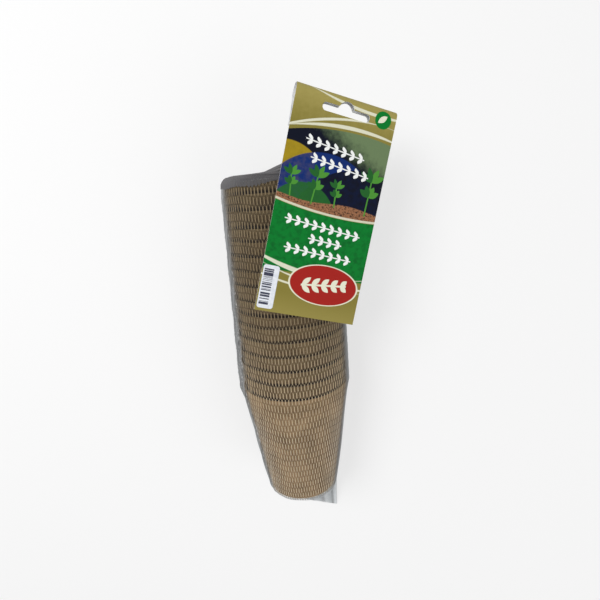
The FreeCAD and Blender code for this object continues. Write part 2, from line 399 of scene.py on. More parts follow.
fibre = {
    "roughness": 0.92,
    "sheen": 0.1,
    # each tone for the mouth end and for the lowest pot, which is paler and warmer
    "dark": (srgb(42, 33, 22), srgb(100, 79, 53)),
    "mid": (srgb(68, 56, 37), srgb(131, 107, 77)),
    "light": (srgb(98, 84, 58), srgb(160, 134, 100)),
    "warmthShare": 0.45,
    "fleck": srgb(178, 160, 128),
    "peat": srgb(42, 31, 20),
    # painted shade: the dark colour laid in the gap where each pot comes out of the one below
    "seam": srgb(18, 11, 7),
    "shift": (0.31, 0.17, 0.23),
    "blotches": (70, 4),
    "grain": (900, 5, 0.65),
    # scales and turn of the fibres that lie along the wall and across it
    "fibresAlong": ((1900, 320, 1900), (0.4, 0.2, 0.9)),
    "fibresAcross": ((380, 2100, 1500), (0.9, 0.3, -0.5)),
    "crumbs": (1500, 1),
    "blotchShare": 0.55,
    "midRange": (0.34, 0.56),
    "lightRange": (0.50, 0.72),
    "tintShare": 0.6,
    "fleckRange": (0.66, 0.76),
    "fleckShare": 0.55,
    "crumbRange": (0.70, 0.78),
    "crumbShare": 0.5,
    "lipShare": 0.35,
    "seamWidth": 2.6 * mm,
    "seamUneven": 1.4,
    "seamRange": (0.6, 1.15),
    "bumpShares": (0.6, 0.5, 0.4),
    "bump": (0.5 * mm, 0.8),
}
# how much lighter each pot is, and how dark the painted shade in the seam below its lip, from the foot to the
# mouth
potTints = [0.06, -0.04, 0.06, -0.08, 0.03, 0.0, -0.05, 0.07,
            -0.02, 0.05, -0.07, 0.02, 0.08, -0.03, 0.04, 0.0]
seamShadeShares = [0, 1.0, 0.98, 0.92, 0.8, 0.9, 0.72, 0.9,
              0.78, 0.95, 0.7, 0.92, 0.84, 0.95, 0.75, 0.9]


def potTones(number):
    warmth = 1.0 if number == 0 else fibre["warmthShare"] * (1 - number / len(potNames))
    return [tuple(a + (b - a) * warmth for a, b in zip(*fibre[key])) for key in ("dark", "mid", "light")]


def fibreMaterial(number):
    # mottled pressed pulp: soft blotches, crossing fibres, pale flecks and dark crumbs of peat
    name = "pressedFibre%02d" % (number + 1)
    material, tree, shader = newMaterial(name, fibre["roughness"], Sheen_Weight=fibre["sheen"])
    dark, mid, light = potTones(number)
    shifted = addNode(tree, "ShaderNodeMapping")
    shifted.inputs["Location"].default_value = [step * number for step in fibre["shift"]]
    tree.links.new(objectPoint(tree), shifted.inputs["Vector"])
    point = shifted.outputs["Vector"]
    blotch = cloud(tree, point, *fibre["blotches"])
    grain = cloud(tree, point, *fibre["grain"])
    along = cloud(tree, stretched(tree, point, *fibre["fibresAlong"]), 1, 2)
    across = cloud(tree, stretched(tree, point, *fibre["fibresAcross"]), 1, 2)
    fibres = along.most(across)
    level = blotch * fibre["blotchShare"] + grain * (1 - fibre["blotchShare"])
    colour = paint(tree, dark, mid, level.fade(*fibre["midRange"]))
    lightness = level + potTints[number] * fibre["tintShare"]
    colour = paint(tree, colour, light, lightness.fade(*fibre["lightRange"]))
    colour = paint(tree, colour, fibre["fleck"], fibres.fade(*fibre["fleckRange"]) * fibre["fleckShare"])
    crumbs = cloud(tree, point, *fibre["crumbs"]).fade(*fibre["crumbRange"])
    colour = paint(tree, colour, fibre["peat"], crumbs * fibre["crumbShare"])
    # painted highlight: the light tone laid along each pot's lip
    colour = paint(tree, colour, light, attribute(tree, "lipMark") * fibre["lipShare"])
    if number > 0:  # painted shade in the deep seam where this pot comes out of the one below
        rise = (lengthwise(tree) - lips[number - 1]) / fibre["seamWidth"]
        uneven = (blotch - 0.5) * fibre["seamUneven"]
        hidden = 1 - (rise + uneven).fade(*fibre["seamRange"])
        seam = hidden * attribute(tree, "outerMark") * seamShadeShares[number]
        colour = paint(tree, colour, fibre["seam"], seam)
    grainShare, fibreShare, blotchShare = fibre["bumpShares"]
    height = grain * grainShare + fibres * fibreShare + blotch * blotchShare
    finishMaterial(tree, shader, colour, height, fibre["bump"])
    return material


for number, name in enumerate(potNames):
    makePot(name, number, fibreMaterial(number))
print("pots", len(potNames))


# The card's own frame, read from its hinge, its slot's mount and its mesh

cardHinge = [j for j in frame["joints"] if j["name"] == "card_swing"][0]
cardAcross = -Vector(cardHinge["axis"]).normalized()
slotMount = [m for m in frame["record"]["mounts"] if m["name"] == "hang_slot"][0]
cardOut = Vector(slotMount["axis"])
cardOut = (cardOut - cardAcross * cardOut.dot(cardAcross)).normalized()
cardAlong = cardOut.cross(cardAcross)
hingePlace = Vector(cardHinge["pos_m"])
cardPoints = np.array([v.co for v in nodes["header_card"].data.vertices])
acrossReach, alongReach, outReach = (cardPoints @ np.array(way) for way in (cardAcross, cardAlong, cardOut))
cardFoot = cardAcross * ((acrossReach.min() + acrossReach.max()) / 2)
cardFoot += cardAlong * alongReach.min() + cardOut * outReach.max()
print("card foot at", [round(c, 4) for c in cardFoot])


# The net: zigzag strands that touch in pairs, drawn as wires here and given their body by a node tree

net = {
    "strands": 216,
    "rowPitch": 5.3 * mm,
    "joinShare": 0.31,
    "joinGap": 1.7,
    "strandRadius": 0.18 * mm,
    "thinShare": 0.76,
    "unevenShare": 0.18,
    "seed": 7,
    "sides": 4,
    "lipGap": 0.30 * mm,
    "floorRoom": 0.03 * mm,
    "endRoom": 0.3 * mm,
    "ripple": 0.10 * mm,
    "ripplesAround": 3,
    "ripplesAlong": 40,
    # waves of the rows of joints: size, count round the pack and start of each
    "rowWave": 1.3 * mm,
    "rowWaves": ((0.6, 2, 0.9), (0.4, 5, 2.1), (0.25, 9, 0)),
    "waveFade": 9.0 * mm,
}
# the slack net at both flanks: direction and size of its bulge, and its folds
flank = {
    "rightAt": 0.1,
    "rightSize": 1.4 * mm,
    "leftAt": 3.35,
    "leftSize": 2.6 * mm,
    "mouthLoss": 0.7,
    "footFall": 4,
    "foldShare": 0.35,
    "foldsAround": 26,
    "foldsAlong": 260,
    "doubledFrom": 0.93,
}
foot = {
    "gap": 0.10 * mm,
    "flare": 0.27,
    "rightSlack": 2.6 * mm,
    "leftSlack": 2.4 * mm,
    "slackShare": 0.5,
    "peakLean": 1.4,
    "narrowShare": 0.5,
}
tail = {
    "rootReach": 22.0 * mm,
    "rootHalf": (18.6 * mm, 2.1 * mm),
    "rootPlace": (0.27, 0.40),
    "endReach": 57.0 * mm,
    "endHalf": (15.1 * mm, 0.55 * mm),
    "endPlace": 0.37,
    "endSkew": 16.0,
    "endHeight": 1.3 * mm,
    "spacing": 0.3 * mm,
    "sag": 1.2 * mm,
    "pleats": 9,
    "footPleat": 0.72 * mm,
    "pleat": 0.5 * mm,
    "roundness": 1.45,
}
netRadius = (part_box("net_sleeve")[1].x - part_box("net_sleeve")[0].x) / 2
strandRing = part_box("pot_01")[1].x + net["lipGap"]
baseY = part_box("pot_01")[0].y
baseRing = strandRing * pot["baseShare"]
firstLip, lastLip = lips[0], lips[-1]
potLength = firstLip - baseY
sleeveLength = lastLip - firstLip
footStart = -potLength - tail["rootReach"]
tailStart = -potLength - tail["endReach"]
lowest = net["strandRadius"] + net["floorRoom"]
tailSkew = math.radians(tail["endSkew"])
tailAcross = np.array([math.cos(tailSkew), -math.sin(tailSkew), 0])
rootX, rootHeight = (share * netRadius for share in tail["rootPlace"])
tailRootCentre = np.array([rootX, baseY - tail["rootReach"], rootHeight])
tailEndCentre = np.array([tail["endPlace"] * netRadius, baseY - tail["endReach"], tail["endHeight"]])


def sideShift(s):
    # +1 where a strand leans on one neighbour, -1 where it leans on the other, with a straight run at each
    zigzag = abs((s / net["rowPitch"]) % 2 - 1)
    return np.clip((zigzag - 0.5) / (0.5 - net["joinShare"]), -1, 1)


def rowStations(start, end):
    # both ends of every joined run and the middle of every slanting one, between two places along the net
    first = math.floor(start / net["rowPitch"]) - 1
    last = math.ceil(end / net["rowPitch"]) + 1
    stations = [start, end]
    for row in range(first, last + 1):
        for side in (-net["joinShare"], net["joinShare"], 0.5):
            s = (row + side) * net["rowPitch"]
            if start + net["endRoom"] < s < end - net["endRoom"]:
                stations.append(s)
    return sorted(stations)


def strandAngles(s, spacing):
    count = net["strands"]
    index = np.arange(count)
    lean = np.where(index % 2 == 0, 1, -1) * sideShift(s)
    gap = min(net["strandRadius"] * net["joinGap"] / spacing, 1)
    return (index + 0.5 + 0.5 * lean * (1 - gap)) * 2 * math.pi / count


def ringFor(angles, radius, y):
    height = axisHeight + radius * np.sin(angles)
    return np.stack([radius * np.cos(angles), y + np.zeros_like(angles), height], 1)


def ovalPoints(angles, centre, across, up, halfWidth, halfHeight):
    return centre + np.outer(np.cos(angles) * halfWidth, across) + np.outer(np.sin(angles) * halfHeight, up)


def offFloor(points):
    points[:, 2] = np.maximum(points[:, 2], lowest)
    return points


def rowWave(angles, fromEnd):
    # no wave at a stretch's ends, where it has to meet the next one
    wave = sum(size * np.sin(count * angles + start) for size, count, start in net["rowWaves"])
    return net["rowWave"] * wave * min(1, fromEnd / net["waveFade"])


def standOff(angles, s, leftSize, rightSize):
    # the slack net bulges out from the pots at both flanks, in small folds at the left one
    right = np.clip(np.cos(angles - flank["rightAt"]), 0, 1) ** 2 * rightSize
    left = np.clip(np.cos(angles - flank["leftAt"]), 0, 1) ** 2 * leftSize
    folds = np.sin(angles * flank["foldsAround"] + s * flank["foldsAlong"])
    return right + left * (1 + flank["foldShare"] * folds)


def sleevePoint(s):
    # s runs from 0 at the first lip to the sleeve's length at the last one
    angles = strandAngles(s, 2 * math.pi * strandRing / net["strands"])
    y = firstLip + s
    fromEnd = min(s, sleeveLength - s)
    wave = 1 + np.sin(net["ripplesAround"] * angles + net["ripplesAlong"] * y / netRadius)
    ripple = net["ripple"] * wave * min(1, fromEnd / net["waveFade"])
    size = (1 - flank["mouthLoss"] * s / sleeveLength) * min(1, (sleeveLength - s) / net["waveFade"])
    off = standOff(angles, s, flank["leftSize"] * size, flank["rightSize"] * size)
    return offFloor(ringFor(angles, strandRing + ripple + off, y + rowWave(angles, fromEnd)))


def footPoint(s):
    # s runs from 0 at the first lip to minus the pot's length at the base, then on to the tail's root
    down = -s / potLength
    if down > 1:
        return underBase(s, (down - 1) * potLength / tail["rootReach"])
    radius = strandRing + (baseRing - strandRing) * down
    angles = strandAngles(s, 2 * math.pi * radius / net["strands"])
    angles = angles - foot["flare"] * down * np.cos(angles)
    slack = foot["slackShare"] * (math.sin(math.pi * min(1, down ** foot["peakLean"])) + down ** 2)
    fall = (1 - down) ** flank["footFall"]
    leftSize = foot["leftSlack"] * slack + flank["leftSize"] * fall
    rightSize = foot["rightSlack"] * slack + flank["rightSize"] * fall
    off = standOff(angles, s, leftSize, rightSize)
    wave = rowWave(angles, min(-s, potLength + s))
    return offFloor(ringFor(angles, radius + off + foot["gap"], firstLip + s + wave))


def underBase(s, share):
    # the net closes from the base's round edge to the flat oval of the tail's root
    spacing = 2 * math.pi * baseRing / net["strands"] * (1 - foot["narrowShare"] * share)
    angles = strandAngles(s, spacing)
    angles = angles - foot["flare"] * (1 - share) * np.cos(angles)
    slack = foot["slackShare"] * (1 - share) ** 2
    off = standOff(angles, s, foot["leftSlack"] * slack, foot["rightSlack"] * slack)
    start = ringFor(angles, baseRing + off + foot["gap"], baseY)
    end = ovalPoints(angles, tailRootCentre, (1, 0, 0), (0, 0, 1), *tail["rootHalf"])
    points = start + (end - start) * share ** tail["roundness"]
    points[:, 1] = baseY - tail["rootReach"] * share
    points[:, 2] += np.cos(angles * tail["pleats"]) * tail["footPleat"] * math.sin(math.pi * min(1, share))
    return offFloor(points)


def tailPoint(s):
    share = (footStart - s) / (tail["endReach"] - tail["rootReach"])
    angles = strandAngles(s, tail["spacing"])
    root = ovalPoints(angles, tailRootCentre, (1, 0, 0), (0, 0, 1), *tail["rootHalf"])
    end = ovalPoints(angles, tailEndCentre, tailAcross, (0, 0, 1), *tail["endHalf"])
    points = root + (end - root) * share
    points[:, 2] -= tail["sag"] * math.sin(math.pi * share)
    points[:, 2] += np.cos(angles * tail["pleats"]) * tail["pleat"] * (1 - share)
    return offFloor(points)


# root, bend and lead: place and half sizes in shares of the net's radius, from the mouth or the hinge
neck = {
    "bulge": 2.4 * mm,
    "bulgeTilt": 3.0,
    "bulgeShare": 0.93,
    "root": (0.24, 0.12, 0.40, 0.49, 0.49),
    "bend": (-0.29, -0.30, -0.24, 0.33, 0.21),
    "lead": (-0.09, -0.12, -0.05, 0.27, 0.075),
    "endHalf": (9.6 * mm, 1.2 * mm),
    "widthWeight": 0.35,
    "step": 0.25 * mm,
    "smooth": 3.0 * mm,
    "pleats": 11,
    "pleatShare": 0.16,
    "pleatRise": 1.6,
    "pleatFall": 3,
    "pleatSway": (1.7, 2, 1),
    "blendBack": 9.0 * mm,
}


def neckSections():
    # centre, across, up, half width and half height of each station from the rim to the hinge line
    mouth = Vector((0, lastLip, axisHeight))
    across, up = Vector((1, 0, 0)), Vector((0, 0, 1))
    turned, raised = (across + cardAcross).normalized(), (up + cardOut).normalized()
    x, y, z, width, height = (share * netRadius for share in neck["root"])
    tilted = Matrix.Rotation(-math.radians(neck["bulgeTilt"]), 3, "Z") @ across
    bulged = strandRing * neck["bulgeShare"]
    sections = [
        (mouth, across, up, strandRing, strandRing),
        (mouth + Vector((0, neck["bulge"], 0)), tilted, up, bulged, bulged),
        (mouth + Vector((x, y, z)), across, up, width, height),
    ]
    for shares, side, rise in ((neck["bend"], turned, raised), (neck["lead"], cardAcross, cardOut)):
        a, b, c, width, height = (share * netRadius for share in shares)
        centre = hingePlace + cardAcross * a + cardAlong * b + cardOut * c
        sections.append((centre, side, rise, width, height))
    sections.append((hingePlace, cardAcross, cardOut, *neck["endHalf"]))
    return sections


def neckTable():
    # the sections as one smooth run: places along the neck, each with nine vector parts and two half sizes
    rows = np.array([[*c, *a, *u, w, h] for c, a, u, w, h in neckSections()])
    reach = [0.0]
    for before, after in zip(rows, rows[1:]):
        widening = abs(after[-2] - before[-2]) * neck["widthWeight"]
        reach.append(reach[-1] + float(np.linalg.norm(after[:3] - before[:3])) + widening)
    places = np.append(np.arange(0, reach[-1], neck["step"]), reach[-1])
    table = np.stack([np.interp(places, reach, column) for column in rows.T], 1)
    width = int(neck["smooth"] / neck["step"])
    smoothed = table.copy()
    for i in range(len(places)):
        half = min(width, i, len(places) - 1 - i)
        smoothed[i] = table[i - half:i + half + 1].mean(0)
    return places, smoothed


neckPlaces, neckRows = neckTable()
neckLength = neckPlaces[-1]


def neckPoint(s):
    along = s - sleeveLength
    row = np.array([np.interp(along, neckPlaces, column) for column in neckRows.T])
    centre, across, up = row[:9].reshape(3, 3)
    width, height = row[9:]
    angles = strandAngles(s, math.pi * (width + height) / net["strands"])
    across, up = across / np.linalg.norm(across), up / np.linalg.norm(up)
    points = ovalPoints(angles, centre, across, up, width, height)
    share = along / neckLength
    depth = neck["pleatShare"] * min(1, share * neck["pleatRise"]) * min(1, (1 - share) * neck["pleatFall"])
    size, count, start = neck["pleatSway"]
    wave = 0.5 + 0.5 * np.cos(angles * neck["pleats"] + size * np.sin(angles * count + start))
    return offFloor(points + (centre - points) * (wave * depth)[:, None])


# How much painted shade grey, how pale and how thick each strand is along its way

tone = {
    "sideRange": (0.83, 0.97),
    "sidePale": 0.36,
    "footPale": 0.12,
    "footSidePale": 0.35,
    "footSideFrom": 0.5,
    "footRise": 3,
    "pastBase": (0.985, 30),  # from where the foot under the base gets painted shade grey and turns pale, and how fast
    # painted shade in the tail's pleat folds: how much and how narrow
    "foldedShare": 0.45,
    "foldedPower": 3,
}


def ramp(value, low, high):
    return np.clip((value - low) / (high - low), 0, 1)


def sideTone(ring, radius):
    # the net stands off the pots at both flanks, and there the strands get painted shade grey and a paler tone
    side = ramp(np.abs(ring[:, 0]) / radius, *tone["sideRange"])
    return np.stack([side, side * tone["sidePale"]], 1)


def sleeveTone(s, ring):
    return sideTone(ring, strandRing)


def footTone(s, ring):
    down = -s / potLength
    radius = strandRing + (baseRing - strandRing) * min(down, 1)
    tones = sideTone(ring, radius)
    wide = ramp(np.abs(ring[:, 0]) / radius, tone["footSideFrom"], 1)
    pale = min(1, down * tone["footRise"]) * (tone["footPale"] + tone["footSidePale"] * wide)
    tones[:, 1] = np.maximum(tones[:, 1], pale)
    begin, speed = tone["pastBase"]
    return np.maximum(tones, np.clip((down - begin) * speed, 0, 1))


def tailTone(s, ring):
    count = len(ring)
    folded = 0.5 + 0.5 * np.cos(np.arange(count) * 2 * math.pi / count * tail["pleats"])
    # painted shade in the pleat folds, where less of the pale tone covers the grey
    return np.stack([np.ones(count), 1 - tone["foldedShare"] * folded ** tone["foldedPower"]], 1)


# painted shade: the neck's strands are wholly grey, for the shaded mouth and ground seen through them
def neckTone(s, ring):
    return np.stack([np.ones(len(ring)), np.zeros(len(ring))], 1)


def stretchWires(pointAt, start, end, toneAt):
    stations = rowStations(start, end)
    rings = np.stack([pointAt(s) for s in stations])
    tones = []
    for s, ring in zip(stations, rings):
        girth = net["thinShare"] + (1 - net["thinShare"]) * abs(sideShift(s))
        tones.append(np.column_stack([toneAt(s, ring), np.full(len(ring), girth)]))
    tones = np.stack(tones)
    strands = range(net["strands"])
    return [rings[:, k] for k in strands], [tones[:, k] for k in strands]


def doubled(wires, tones):
    # two layers of net lie over each other at both flanks, so there the strands lie twice as close
    for k in range(net["strands"]):
        after = (k + 1) % net["strands"]
        if np.abs(wires[k][:, 0]).max() > flank["doubledFrom"] * strandRing:
            wires.append((wires[k] + wires[after]) / 2)
            tones.append((tones[k] + tones[after]) / 2)
    return wires, tones


def strandTree(name, material):
    # wires in, strands out: each wire becomes a tube of the given girth, which is a little uneven
    tree = bpy.data.node_groups.new(name, "GeometryNodeTree")
    link = tree.links.new
    sockets = {}
    for label, kind in (("Geometry", "Geometry"), ("Strand radius", "Float"),
                        ("Sides", "Int"), ("Uneven share", "Float")):
        made = tree.interface.new_socket(label, in_out="INPUT", socket_type="NodeSocket" + kind)
        sockets[label] = made.identifier
    tree.interface.new_socket("Geometry", in_out="OUTPUT", socket_type="NodeSocketGeometry")
    start = addNode(tree, "NodeGroupInput")
    curve = addNode(tree, "GeometryNodeMeshToCurve")
    link(start.outputs["Geometry"], curve.inputs["Mesh"])
    random = addNode(tree, "FunctionNodeRandomValue", data_type="FLOAT")
    random.inputs["Seed"].default_value = net["seed"]
    # inputs 2 and 3 of a random float are its least and its greatest value
    link((1.0 - Field(tree, start.outputs["Uneven share"])).socket, random.inputs[2])
    random.inputs[3].default_value = 1.0
    share = addNode(tree, "GeometryNodeInputNamedAttribute", data_type="FLOAT")
    share.inputs["Name"].default_value = "girthShare"
    size = Field(tree, random.outputs[1]) * Field(tree, share.outputs[0])
    size = size * Field(tree, start.outputs["Strand radius"])
    ring = addNode(tree, "GeometryNodeCurvePrimitiveCircle")
    ring.inputs["Radius"].default_value = 1.0
    link(start.outputs["Sides"], ring.inputs["Resolution"])
    body = addNode(tree, "GeometryNodeCurveToMesh")
    body.inputs["Fill Caps"].default_value = True
    link(curve.outputs["Curve"], body.inputs["Curve"])
    link(ring.outputs["Curve"], body.inputs["Profile Curve"])
    link(size.socket, body.inputs["Scale"])
    last = body.outputs["Mesh"]
    for kind in ("GeometryNodeSetShadeSmooth", "GeometryNodeRealizeInstances", "GeometryNodeSetMaterial"):
        made = addNode(tree, kind)
        link(last, made.inputs["Geometry"])
        last = made.outputs["Geometry"]
    made.inputs["Material"].default_value = material
    link(last, addNode(tree, "NodeGroupOutput").inputs["Geometry"])
    return tree, sockets


def makeStrands(name, wires, tones, material):
    # wires: one array of points per strand; tones: painted shade grey, pale and girth shares for each point
    edges = []
    begin = 0
    for wire in wires:
        edges += [(begin + k, begin + k + 1) for k in range(len(wire) - 1)]
        begin += len(wire)
    mesh = bpy.data.meshes.new(name)
    mesh.from_pydata([tuple(p) for p in np.concatenate(wires)], edges, [])
    toneValues = np.concatenate(tones)
    for column, key in enumerate(("greyShare", "paleShare", "girthShare")):
        mark = mesh.attributes.new(key, "FLOAT", "POINT")
        mark.data.foreach_set("value", toneValues[:, column].astype(np.float32))
    wireObject = addObject(name + "Wires", mesh)
    tree, sockets = strandTree(name + "Tree", material)
    modifier = wireObject.modifiers.new("strands", "NODES")
    modifier.node_group = tree
    modifier[sockets["Strand radius"]] = net["strandRadius"]
    modifier[sockets["Sides"]] = net["sides"]
    modifier[sockets["Uneven share"]] = net["unevenShare"]
    bpy.context.view_layer.update()
    shaped = wireObject.evaluated_get(bpy.context.evaluated_depsgraph_get())
    result = bpy.data.meshes.new_from_object(shaped)
    result.name = name
    bpy.data.objects.remove(wireObject)
    piece = addObject(name, result)
    triangles = sum(len(p.vertices) - 2 for p in result.polygons)
    print(name, len(result.vertices), "vertices", triangles, "triangles")
    return piece


plastic = {
    "roughness": 0.45,
    "shine": 0.3,
    # joined and slanting strands, for the foot and for the mouth end; joints lighter as painted highlight on the
    # doubled strands, the mouth end darker as painted shade over the darker pots behind
    "warm": srgb(226, 206, 172),
    "warmShade": srgb(190, 168, 136),
    "dim": srgb(162, 143, 110),
    "dimShade": srgb(128, 113, 88),
    "dimReach": 75.0 * mm,
    "dimBeforeShare": 0.3,
    "grey": srgb(94, 93, 95),
    "pale": srgb(222, 226, 228),
    "body": 0.78,
    "thinBody": 0.58,
    "patches": (420, 3),
    "patchRange": (0.36, 0.58),
    "patchShare": 0.2,
    # least share and spread of the painted shade grey and of the pale tone
    "greyUneven": (0.85, 0.3),
    "paleUneven": (0.75, 0.4),
    "bumps": (1600, 2),
    "bump": (0.12 * mm, 0.5),
}


def netMaterial():
    # thin cloudy plastic that takes on the tone of what lies behind it, painted shade grey and denser where it is
    # slack, with a painted highlight on the joints and painted shade towards the mouth end
    material, tree, shader = newMaterial("netPlastic", plastic["roughness"],
                                         Specular_IOR_Level=plastic["shine"])
    point = objectPoint(tree)
    patchy = cloud(tree, point, *plastic["patches"])
    joined = attribute(tree, "girthShare").fade(net["thinShare"], 1.0)
    reach = plastic["dimReach"]
    mouthShade = lengthwise(tree).fade(firstLip - reach * plastic["dimBeforeShare"], firstLip + reach)
    # painted highlight on the joints, and painted shade darkening the strands towards the mouth end
    jointTone = paint(tree, plastic["warm"], plastic["dim"], mouthShade)
    slantTone = paint(tree, plastic["warmShade"], plastic["dimShade"], mouthShade)
    patches = patchy.fade(*plastic["patchRange"]) * plastic["patchShare"]
    colour = paint(tree, slantTone, jointTone, joined * (1 - plastic["patchShare"]) + patches)
    # painted shade: grey where shaded ground and hollows show through the net
    grey, pale = attribute(tree, "greyShare"), attribute(tree, "paleShare")
    least, spread = plastic["greyUneven"]
    colour = paint(tree, colour, plastic["grey"], (grey * (patchy * spread + least)).least(1.0))
    least, spread = plastic["paleUneven"]
    colour = paint(tree, colour, plastic["pale"], pale * (patchy * spread + least).least(1.0))
    body = joined * (plastic["body"] - plastic["thinBody"]) + plastic["thinBody"]
    tree.links.new(body.most(grey.most(pale)).socket, shader.inputs["Alpha"])
    height = cloud(tree, point, *plastic["bumps"])
    finishMaterial(tree, shader, colour, height, plastic["bump"])
    return material


def finishNet(piece, node, body="net_bag"):
    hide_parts(node)
    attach(piece, body)


netFinish = netMaterial()
stretches = [
    ("netSleeve", "net_sleeve", doubled(*stretchWires(sleevePoint, 0.0, sleeveLength, sleeveTone))),
    ("netFoot", "net_foot", doubled(*stretchWires(footPoint, footStart, 0.0, footTone))),
    ("netTail", "net_tail", stretchWires(tailPoint, tailStart, footStart, tailTone)),
]
for name, node, (wires, tones) in stretches:
    finishNet(makeStrands(name, wires, tones, netFinish), node)


# The slack net at the mouth: strands between the strands, and a fold that hangs over the last lip

fold = {
    "layers": (0.25, 0.5, 0.75),
    "reach": 3.2 * mm,
    "ahead": 4.0 * mm,
    "lift": 0.35 * mm,
    "lowLayer": 0.4,
    "places": 24,
    "steps": 6,
    "uneven": 2.2 * mm,
    "unevenFrom": 0.2,
    # the fold's edge wanders: middle, then size, turn per strand and start of each wave
    "wanderMiddle": 0.5,
    "wanderWaves": ((0.3, 0.11, 0), (0.2, 0.29, 1)),
    "until": 0.9,
    "lowestAt": 0.5,
    "girthShare": 1.3,
    "seed": 5,
}


def bagPoint(s):
    return neckPoint(s) if s > sleeveLength else sleevePoint(s)


def foldWires():
    draw = np.random.default_rng(fold["seed"])
    wires, tones = [], []
    places = np.linspace(-fold["reach"] - fold["uneven"], fold["ahead"], fold["places"])
    table = np.stack([bagPoint(sleeveLength + p) for p in places])
    for share in fold["layers"]:
        between = table * (1 - share) + np.roll(table, -1, axis=1) * share
        for k in range(net["strands"]):
            middle = between[len(places) // 2, k]
            leftness = ramp(-middle[0] / strandRing, -fold["until"], 1)
            if leftness <= 0 or middle[2] < axisHeight * fold["lowestAt"]:
                continue
            waves = (size * math.sin(turn * k + first) for size, turn, first in fold["wanderWaves"])
            wander = sum(waves, fold["wanderMiddle"])
            start = -fold["reach"] * leftness ** 2
            start -= fold["uneven"] * wander * draw.uniform(fold["unevenFrom"], 1)
            wire = []
            for along in np.linspace(start, fold["ahead"], fold["steps"]):
                point = np.array([np.interp(along, places, column) for column in between[:, k].T])
                out = np.array([point[0], 0, point[2] - axisHeight])
                lifted = out / np.linalg.norm(out) * fold["lift"] * (fold["lowLayer"] + share)
                wire.append(point + lifted)
            wires.append(np.array(wire))
            # the fold is painted shade grey, like the neck
            tones.append(np.tile([1.0, 0.0, fold["girthShare"]], (len(wire), 1)))
    return wires, tones


wires, tones = stretchWires(neckPoint, sleeveLength, sleeveLength + neckLength, neckTone)
wires += [(wire + after) / 2 for wire, after in zip(wires, wires[1:])]
tones += tones[:-1]
foldedWires, foldedTones = foldWires()
netNeck = makeStrands("netNeck", wires + foldedWires, tones + foldedTones, netFinish)
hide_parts("net_neck")
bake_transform(netNeck)


# The bunched end between the card's panels

gather = {
    "strands": 108,
    "startHalf": (9.6 * mm, 1.2 * mm),
    "endHalf": (13.0 * mm, 1.15 * mm),
    "length": 12.0 * mm,
    "spreadShare": 0.5,
    "leastDepth": 0.05,
    "endDepthShare": 0.8,
    "stopShares": (0.86, 0.985),
    "points": 7,
    "sway": 0.15 * mm,
    "swayTurns": 9,
    # painted shade grey, pale and girth shares: the gathered end between the card's panels lies in shade
    "tone": (0.75, 0.15, 1.0),
    "seed": 11,
}


def gatherWires():
    draw = np.random.default_rng(gather["seed"])
    startWidth, startHeight = gather["startHalf"]
    endWidth, endHeight = gather["endHalf"]
    wires, tones = [], []
    for k in range(gather["strands"]):
        place = draw.uniform(-1, 1)
        depth = draw.uniform(-1, 1) * math.sqrt(max(gather["leastDepth"], 1 - place * place))
        endDepth = draw.uniform(-gather["endDepthShare"], gather["endDepthShare"])
        stop = gather["length"] * draw.uniform(*gather["stopShares"])
        wire = []
        for t in np.linspace(0, 1, gather["points"]):
            spread = min(1, t / gather["spreadShare"])
            side = place * (startWidth + (endWidth - startWidth) * spread)
            side += gather["sway"] * math.sin(gather["swayTurns"] * t + k)
            level = depth * startHeight * (1 - spread) + endDepth * endHeight * spread
            wire.append(hingePlace + cardAcross * side + cardAlong * (stop * t) + cardOut * level)
        wires.append(np.array(wire))
        tones.append(np.tile(gather["tone"], (gather["points"], 1)))
    return wires, tones


finishNet(makeStrands("netGather", *gatherWires(), netFinish), "net_gather", "hang_card")
print("net")


# The card's print, in mm across and along the card from the middle of its foot

